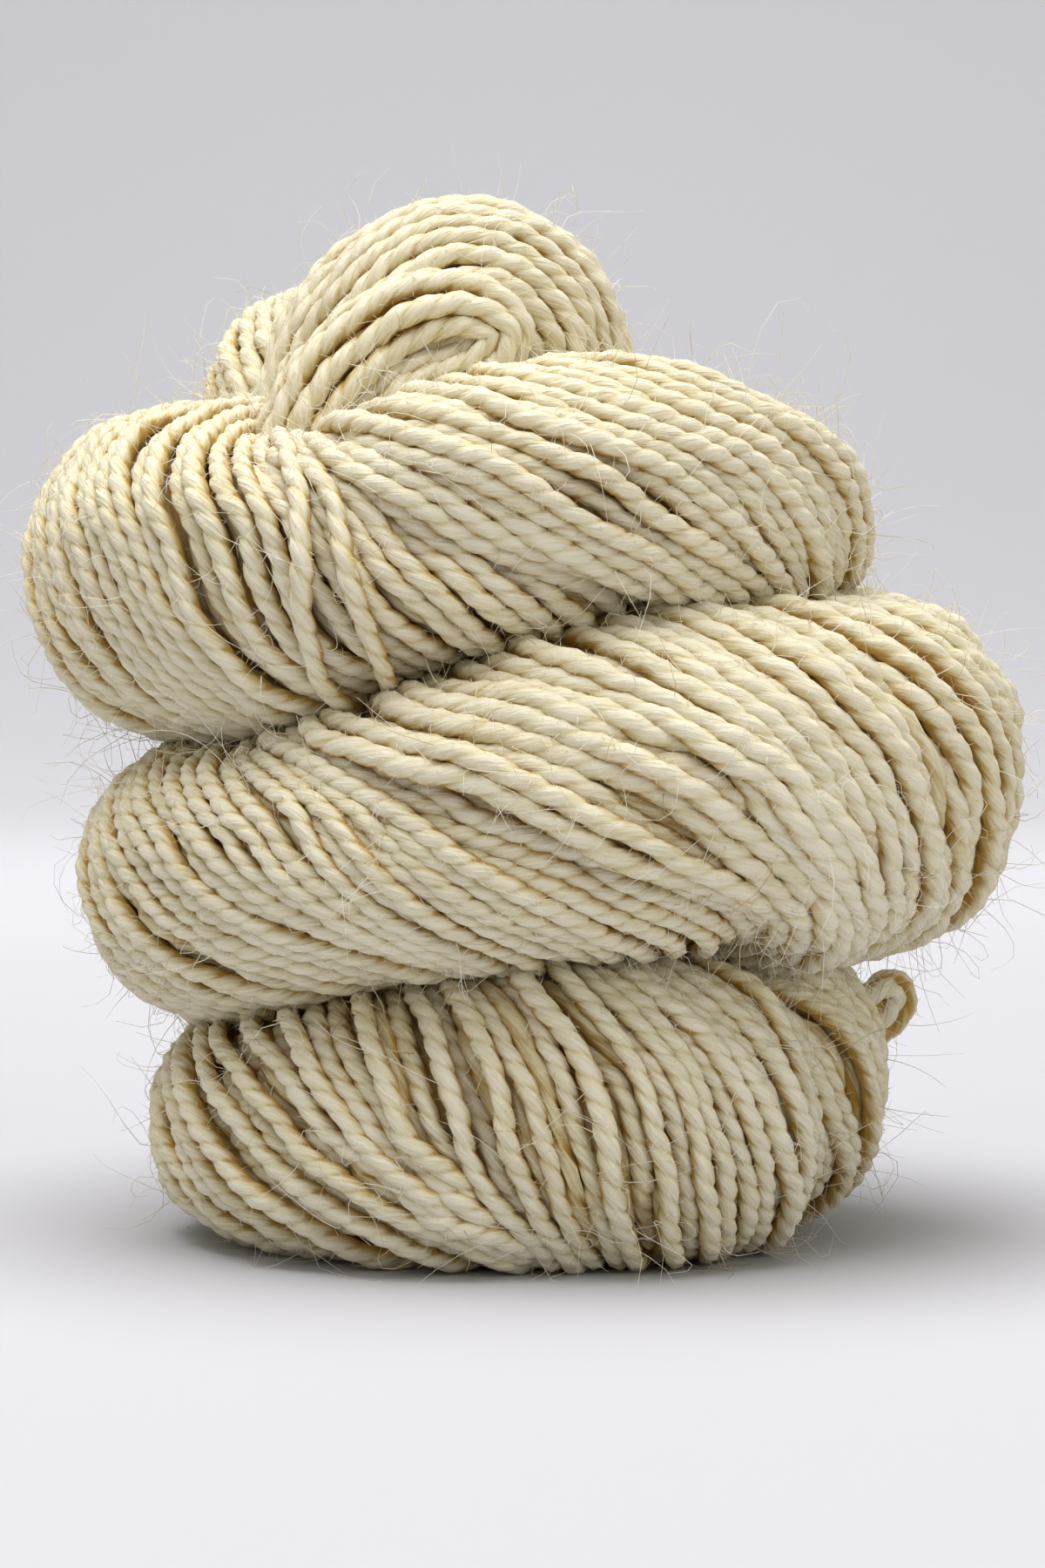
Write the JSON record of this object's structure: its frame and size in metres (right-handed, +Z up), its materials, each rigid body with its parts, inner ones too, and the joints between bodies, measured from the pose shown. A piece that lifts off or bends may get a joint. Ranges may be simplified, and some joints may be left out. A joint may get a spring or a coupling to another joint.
{
  "type": "knitting yarn hank",
  "caption": "Twisted hank of undyed wool knitting yarn, coiled into a standing tower of rising tiers with a small end loop on top.",
  "frame": {"origin": "middle of the flat base, under the middle of the outline seen from above", "axes": "+Z up along the coil's height, -Y towards the side that the picture shows, +X to that side's right"},
  "size_m": [0.0962, 0.0891, 0.1008],
  "materials": {
    "undyed_wool": "soft matt two-ply wool yarn, undyed cream, with fine stray fibres"
  },
  "bodies": {
    "root": {"yarn_hank": "undyed_wool"}
  },
  "joints": []
}
